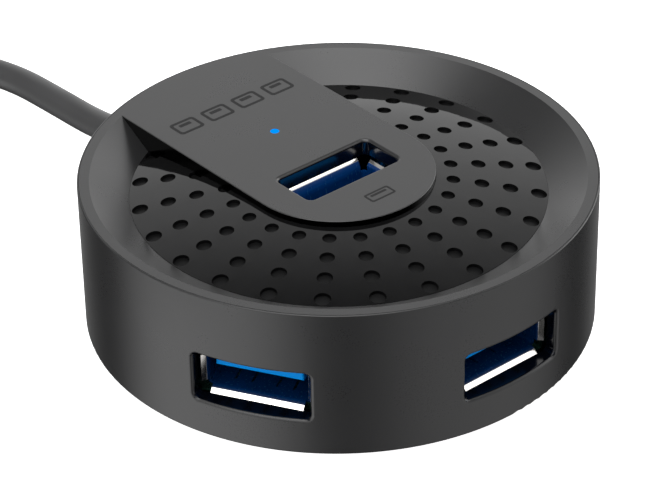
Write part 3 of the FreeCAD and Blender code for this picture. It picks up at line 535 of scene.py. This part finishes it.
def strap_weave(along, across):
    """Hook-and-loop strap: ribs across the strap and a pile of fine loops."""
    finish = Finish("strap_weave", STRAP_BLACK, 0.85, specular=0.2)
    finish.shader.inputs["Sheen Weight"].default_value = 0.4
    turn = 2.0 * math.pi / (0.55 * MM)
    warp = finish.math("SINE", finish.math("MULTIPLY", finish.along(along), turn))
    weft = finish.math("SINE", finish.math("MULTIPLY", finish.along(across), turn))
    weave = finish.math("MULTIPLY", warp, weft)
    # painted highlight on the weave's raised threads and painted shade in its hollows
    lit = finish.step(weave, -1.0, 1.0)
    finish.color(finish.mix(lit, shade(STRAP_BLACK, 0.6), shade(STRAP_BLACK, 1.8)))
    finish.roughness(finish.step(finish.noise(0.3 * MM), 0.3, 0.7, 0.8, 0.95))
    finish.relief(lit, 0.05 * MM)
    finish.relief(finish.noise(0.15 * MM), 0.03 * MM)
    return finish.material


def glowing(name, color, strength):
    finish = Finish(name, shade(color, 0.05), 0.5, specular=0.0)
    finish.shader.inputs["Emission Color"].default_value = (*color, 1.0)
    finish.shader.inputs["Emission Strength"].default_value = strength
    finish.roughness(finish.step(finish.noise(0.2 * MM), 0.3, 0.7, 0.25, 0.35))
    return finish.material


def printed_ink():
    finish = Finish("printed_ink", INK_BLACK, 0.5, specular=0.3)
    fine = finish.noise(0.1 * MM)
    finish.color(finish.mix(fine, INK_DARK, INK_PALE))
    finish.roughness(finish.step(fine, 0.3, 0.7, 0.45, 0.6))
    finish.relief(fine, 0.001 * MM)
    return finish.material


give(wall_plastic(), "side_wall")
give(cover_plastic(), "top_cover")
give(dome_plastic(), "dome_plate")
give(moulded("base_plastic", shade(CHARCOAL, 0.8), 0.45, grain=0.3 * MM, depth=0.006 * MM), "base_cover")
give(rubber("foot_rubber", RUBBER_GREY), "rubber_feet")
give(rubber("boot_rubber", shade(CORD_GREY, 0.8), 0.5), "strain_relief")
give(metal("blackened_steel", (0.10, 0.10, 0.105), 0.35), "case_screws")
give(solder_mask(), "main_board")
give(moulded("epoxy", EPOXY, 0.5, grain=0.1 * MM, depth=0.003 * MM), "hub_controller")
give(metal("crystal_can", TIN, 0.3, stretch=(6.0, 1.0, 1.0)), "crystal")
give(leaded("regulator_body", EPOXY, BOARD_TOP + 0.31 * MM), "voltage_regulator")
give(metal("can_aluminium", ALUMINIUM, 0.25, stretch=(1.0, 1.0, 8.0)), "bulk_capacitors")
give(moulded("fuse_body", (0.01, 0.06, 0.03), 0.45, grain=0.1 * MM), "port_fuses")
give(moulded("capacitor_ceramic", CERAMIC, 0.4, grain=0.08 * MM), "chip_capacitors")
give(moulded("resistor_glaze", shade(EPOXY, 1.5), 0.3, grain=0.08 * MM), "chip_resistors")
give(glowing("led_lens", LED_BLUE, 0.8), "status_led")
give(glowing("light_pipe_glow", LED_BLUE, 1.0), "light_pipe")
give(core_colors(), "conductors")
blue_moulding = insulator_blue()
gold_plate = metal("gold_plate", GOLD, 0.22, stretch=(1.0, 4.0, 1.0), size=0.15 * MM)
for port, degrees in SIDE_PORTS.items():
    shell = shell_metal(port + "_shell_metal", port_axes(degrees)[2], MOUTH_R - SIDE_LIP_DEEP, SIDE_SHELL_SHADE)
    give(shell, port + "_port_shell")
give(shell_metal("top_shell_metal", UP, TOP_MOUTH_Z - TOP_LIP_DEEP, TOP_SHELL_SHADE), "top_port_shell")
for port in (*SIDE_PORTS, "top"):
    give(blue_moulding, port + "_port_insulator")
    give(gold_plate, port + "_port_contacts")
give(metal("plug_nickel", NICKEL, 0.16, stretch=(1.0, 10.0, 1.0), size=0.12 * MM), "plug_shell")
give(blue_moulding, "plug_insulator")
give(gold_plate, "plug_contacts")
cord.data.materials.append(cord_jacket())


# ---------------------------------------------------------------- pieces
def add_piece(name, points, faces, material, smooth_faces=True):
    mesh = bpy.data.meshes.new(name)
    mesh.from_pydata(points, [], faces)
    mesh.validate()
    mesh.materials.append(material)
    mesh.polygons.foreach_set("use_smooth", [smooth_faces] * len(mesh.polygons))
    piece = bpy.data.objects.new(name, mesh)
    bpy.context.scene.collection.objects.link(piece)
    return piece


def rounded_outline(half_w, half_h, corner, steps=6):
    """Counter-clockwise points of a rounded rectangle about the origin."""
    points = []
    for x, y, start in ((1, 1, 0), (-1, 1, 90), (-1, -1, 180), (1, -1, 270)):
        for k in range(steps + 1):
            a = math.radians(start + 90.0 * k / steps)
            u = x * (half_w - corner) + corner * math.cos(a)
            v = y * (half_h - corner) + corner * math.sin(a)
            points.append((u, v))
    return points


def lofted(rings, closed_ends=True):
    """Points and faces of a skin over rings of equally many points."""
    count = len(rings[0])
    points = [p for ring in rings for p in ring]
    faces = []
    for r in range(len(rings) - 1):
        for k in range(count):
            a, b = r * count + k, r * count + (k + 1) % count
            faces.append((a, b, b + count, a + count))
    if closed_ends:
        faces.append(tuple(reversed(range(count))))
        faces.append(tuple(range((len(rings) - 1) * count, len(rings) * count)))
    return points, faces


# ---- printed pictograms on the tongue
INK_THICK = 0.012 * MM


def slab(outline, hole, x, y):
    """A thin flat shape on the tongue, with a hole of the same number of points if one is given."""
    z0, z1 = CASE_TOP, CASE_TOP + INK_THICK

    def ring(points, z):
        return [(x + px, y + py, z) for px, py in points]

    if hole is None:
        return lofted([ring(outline, z0), ring(outline, z1)])
    points, faces = lofted([ring(outline, z0), ring(outline, z1), ring(hole, z1), ring(hole, z0)], False)
    count = len(outline)
    for k in range(count):
        n = (k + 1) % count
        faces.append((3 * count + k, 3 * count + n, n, k))
    return points, faces


def socket_mark(x, y, half_w, half_h, line):
    """A plain outline of a socket with the bar of its contact plate."""
    outer = rounded_outline(half_w, half_h, 0.35 * half_h)
    inner = rounded_outline(half_w - line, half_h - line, 0.2 * half_h)
    bar = rounded_outline(half_w - 2.4 * line, 0.2 * half_h, 0.08 * half_h)
    return [slab(outer, inner, x, y), slab(bar, None, x, y + 0.28 * half_h)]


def add_marks(name, marks, material):
    points, faces = [], []
    for mark_points, mark_faces in marks:
        start = len(points)
        points += mark_points
        faces += [tuple(i + start for i in face) for face in mark_faces]
    piece = add_piece(name, points, faces, material, smooth_faces=False)
    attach(piece, "root")


ink = printed_ink()
MARK_Y, MARK_PITCH, MARK_COUNT = 20.6 * MM, 4.9 * MM, 4
row = []
for k in range(MARK_COUNT):
    mark_x = (k - (MARK_COUNT - 1) / 2) * MARK_PITCH
    row += socket_mark(mark_x, MARK_Y, 1.9 * MM, 1.45 * MM, 0.42 * MM)
add_marks("four_socket_marks", row, ink)
add_marks("socket_mark", socket_mark(0.0, -7.7 * MM, 1.9 * MM, 0.95 * MM, 0.28 * MM), ink)


# ---- strap round the coil
TIE_ANGLE = math.radians(-60.0)
TIE_HALF_W = 3.5 * MM
TIE_THICK = 0.6 * MM
TIE_ROOM = 0.2 * MM
TIE_R = (INNER_TURN_R * MM - CORD_R - TIE_ROOM, OUTER_TURN_R * MM + CORD_R + TIE_ROOM)
TIE_Z = (LOW_TURN_Z * MM - CORD_R, HIGH_TURN_Z * MM + CORD_R)


def add_tie():
    """A strap wound once round the turns, with its rounded end laid over the start of the wrap."""
    (r0, r1), (z0, z1) = TIE_R, TIE_Z
    mid_r, mid_z = (r0 + r1) / 2, (z0 + z1) / 2
    radial = Vector((math.cos(TIE_ANGLE), math.sin(TIE_ANGLE), 0.0))
    across = Vector((-radial.y, radial.x, 0.0))
    centre = Vector((COIL_X * MM, COIL_Y * MM, 0.0))
    inner = rounded_outline((r1 - r0) / 2 + 0.02 * MM, (z1 - z0) / 2 + 0.02 * MM, 1.6 * MM, steps=8)
    outer_half = (r1 - r0) / 2 + TIE_THICK, (z1 - z0) / 2 + TIE_THICK
    outer = rounded_outline(*outer_half, 2.2 * MM, steps=8)
    edge = 0.12 * MM
    widths = (-TIE_HALF_W, -TIE_HALF_W + edge, TIE_HALF_W - edge, TIE_HALF_W)

    def ring(section, width, grow):
        points = []
        for u, z in section:
            scale = 1.0 + grow / math.hypot(u, z)
            up = Vector((0, 0, mid_z + z * scale))
            points.append(tuple(centre + radial * (mid_r + u * scale) + across * width + up))
        return points

    rings = [
        ring(outer, widths[0], -edge), ring(outer, widths[1], 0.0),
        ring(outer, widths[2], 0.0), ring(outer, widths[3], -edge),
        ring(inner, widths[3], 0.0), ring(inner, widths[0], 0.0),
    ]
    rings.append(rings[0])
    points, faces = lofted(rings, closed_ends=False)
    weave = strap_weave(tuple(radial + Vector(UP)), tuple(across))
    band = add_piece("strap_band", points, faces, weave)
    tail = add_tie_tail(centre, radial, across, mid_r, mid_z + outer_half[1], weave)
    for piece in (band, tail):
        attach(piece, "root")
    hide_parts("cord_tie")


def add_tie_tail(centre, radial, across, mid_r, top_z, material):
    """The strap's free end, lying on top of the wrap and lifting a little at its rounded tip."""
    length, thick, half = 6.4 * MM, 0.55 * MM, TIE_HALF_W - 0.3 * MM
    stations = 14
    rings = []
    for k in range(stations + 1):
        t = k / stations
        narrow = half * math.sqrt(max(0.0, 1.0 - max(0.0, (t - 0.62) / 0.39) ** 2))
        lift = 0.35 * MM * t ** 3
        place = centre + radial * (mid_r - length / 2 + length * t)
        section = rounded_outline(max(narrow, 0.3 * MM), thick / 2, thick * 0.45, steps=4)
        mid_z = top_z + thick / 2 + lift
        rings.append([tuple(place + across * u + Vector((0, 0, mid_z + z))) for u, z in section])
    points, faces = lofted(rings)
    return add_piece("strap_end", points, faces, material)


add_tie()


# ---- grip of the plug
PLUG_X, PLUG_Z = -73.0 * MM, 4.0 * MM
GRIP_FACE_Y, GRIP_END_Y, BOOT_END_Y = 4.3 * MM, 24.3 * MM, 32.3 * MM
GRIP_HALF_W, GRIP_HALF_H, GRIP_CORNER = 7.8 * MM, 3.9 * MM, 1.6 * MM
GRIP_ROUND = 0.8 * MM
HOLE_HALF_W, HOLE_HALF_H, HOLE_DEEP = 6.03 * MM, 2.28 * MM, 1.0 * MM
BOOT_START_R, BOOT_TIP_R = 3.4 * MM, 2.5 * MM
BOOT_RIBS, RIB_DEEP = 5, 0.45 * MM
GROOVES, GROOVE_DEEP = 7, 0.28 * MM
# a round section is a rounded rectangle whose corners are nearly its whole radius
NEARLY_ROUND = 0.999


def add_grip():
    """The plug's moulded grip: a rounded body with finger grooves on its sides, and a ribbed boot."""
    rings = []

    def ring(y, half_w, half_h, corner, steps=8):
        section = rounded_outline(half_w, half_h, corner, steps)
        rings.append([(PLUG_X - u, y, PLUG_Z + z) for u, z in section])

    ring(GRIP_FACE_Y + HOLE_DEEP, HOLE_HALF_W, HOLE_HALF_H, 0.5 * MM)
    ring(GRIP_FACE_Y, HOLE_HALF_W, HOLE_HALF_H, 0.5 * MM)
    turn_steps = 6
    for k in range(turn_steps + 1):
        a = math.pi / 2 * k / turn_steps
        cut = GRIP_ROUND * (1.0 - math.sin(a))
        y = GRIP_FACE_Y + GRIP_ROUND * (1.0 - math.cos(a))
        ring(y, GRIP_HALF_W - cut, GRIP_HALF_H - cut, GRIP_CORNER)
    groove_from, groove_to = GRIP_FACE_Y + 5 * MM, GRIP_FACE_Y + 15 * MM
    groove_steps = 8 * GROOVES
    for k in range(groove_steps + 1):
        t = k / groove_steps
        wave = 0.5 - 0.5 * math.cos(2 * math.pi * GROOVES * t)
        y = groove_from + (groove_to - groove_from) * t
        ring(y, GRIP_HALF_W - GROOVE_DEEP * wave, GRIP_HALF_H, GRIP_CORNER)
    for k in range(turn_steps + 1):
        a = math.pi / 2 * k / turn_steps
        cut = GRIP_ROUND * (1.0 - math.cos(a))
        y = GRIP_END_Y - GRIP_ROUND * (1.0 - math.sin(a))
        ring(y, GRIP_HALF_W - cut, GRIP_HALF_H - cut, GRIP_CORNER)
    rib_pitch = (BOOT_END_Y - GRIP_END_Y) / BOOT_RIBS
    for k in range(BOOT_RIBS):
        y = GRIP_END_Y + rib_pitch * k
        r = BOOT_START_R + (BOOT_TIP_R - BOOT_START_R) * k / (BOOT_RIBS - 1)
        inner = max(r - RIB_DEEP, CORD_R + 0.1 * MM)
        groove = ((0.02, inner), (0.3, inner))
        rib = ((0.36, r - 0.05 * MM), (0.42, r), (0.94, r), (0.99, r - 0.06 * MM))
        for along, radius in groove + rib:
            ring(y + rib_pitch * along, radius, radius, radius * NEARLY_ROUND)
    points, faces = lofted(rings)
    plastic = moulded("grip_plastic", shade(CORD_GREY, 0.75), 0.45, grain=0.2 * MM, depth=0.005 * MM)
    grip = add_piece("plug_grip", points, faces, plastic)
    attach(grip, "root")
    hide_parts("plug_overmold")
    split = grip.modifiers.new("sharp_edges", "EDGE_SPLIT")
    split.split_angle = math.radians(35)


add_grip()


# ---------------------------------------------------------------- floor and light
def make_white_stage():
    """A white floor that curves up into a white backdrop. Only the camera sees it."""
    floor_r, curve_r, wall_top, sides, rise_steps = 3.0, 1.0, 4.0, 64, 8
    profile = [(floor_r, 0.0)]
    for k in range(1, rise_steps + 1):
        a = math.pi / 2 * k / rise_steps
        profile.append((floor_r + curve_r * math.sin(a), curve_r * (1.0 - math.cos(a))))
    profile.append((floor_r + curve_r, wall_top))
    rings = []
    for r, z in profile:
        turn = [2 * math.pi * k / sides for k in range(sides)]
        rings.append([(r * math.cos(a), r * math.sin(a), z) for a in turn])
    points, faces = lofted(rings)
    finish = Finish("stage_white", (0.8, 0.8, 0.8), 0.9)
    finish.shader.inputs["Emission Color"].default_value = (1.0, 1.0, 1.0, 1.0)
    finish.shader.inputs["Emission Strength"].default_value = 1.0
    stage = add_piece("stage", points, faces, finish.material)
    stage.visible_diffuse = False
    stage.visible_glossy = False
    stage.visible_shadow = False
    stage.visible_transmission = False


make_white_stage()

# soft lights: azimuth from the view, elevation and reach in degrees, and strength
SKY_LIGHTS = {
    # behind and above: the sheen on the tongue, the rim and the dome
    "back": (180, 12, 52, 1.1),
    "overhead": (0, 85, 35, 2.8),
    # at the sides: the soft edges of the side wall and of the cone
    "right_back": (120, 15, 35, 3.0),
    "left": (265, 20, 45, 0.4),
    # from the pale floor: the two broad bands on the side wall, and its thin light edges
    "left_floor": (300, -25, 50, 1.8),
    "right_floor": (62, -20, 55, 0.85),
    "back_floor": (180, -25, 45, 0.3),
    # from the front: the sockets' mouths
    "front": (-20, 45, 50, 1.9),
    # where the flare of a lower lip sends the view
    "left_lips": (-50, 53, 15, 2.0),
    "front_lips": (87, 41, 15, 2.0),
}


def make_sky(lights):
    """White light from the given directions, each fading smoothly to nothing at the end of its reach."""
    world = bpy.data.worlds.new("sky")
    bpy.context.scene.world = world
    world.use_nodes = True
    tree = world.node_tree
    direction = tree.nodes.new("ShaderNodeTexCoord").outputs["Generated"]
    total = None
    for azimuth, elevation, reach, strength in lights:
        a, e = math.radians(azimuth) + VIEW_AZIMUTH, math.radians(elevation)
        dot = tree.nodes.new("ShaderNodeVectorMath")
        dot.operation = "DOT_PRODUCT"
        tree.links.new(direction, dot.inputs[0])
        dot.inputs[1].default_value = (math.sin(a) * math.cos(e), -math.cos(a) * math.cos(e), math.sin(e))
        glow = tree.nodes.new("ShaderNodeMapRange")
        glow.interpolation_type = "SMOOTHSTEP"
        tree.links.new(dot.outputs["Value"], glow.inputs["Value"])
        glow.inputs["From Min"].default_value = math.cos(math.radians(reach))
        glow.inputs["To Max"].default_value = strength
        if total is None:
            total = glow.outputs["Result"]
        else:
            add = tree.nodes.new("ShaderNodeMath")
            tree.links.new(total, add.inputs[0])
            tree.links.new(glow.outputs["Result"], add.inputs[1])
            total = add.outputs[0]
    tree.links.new(total, tree.nodes["Background"].inputs["Strength"])
    tree.nodes["Background"].inputs["Color"].default_value = (1.0, 1.0, 1.0, 1.0)


make_sky(SKY_LIGHTS.values())
bpy.context.scene.view_settings.view_transform = "Standard"

# ---------------------------------------------------------------- update
bpy.context.view_layer.update()
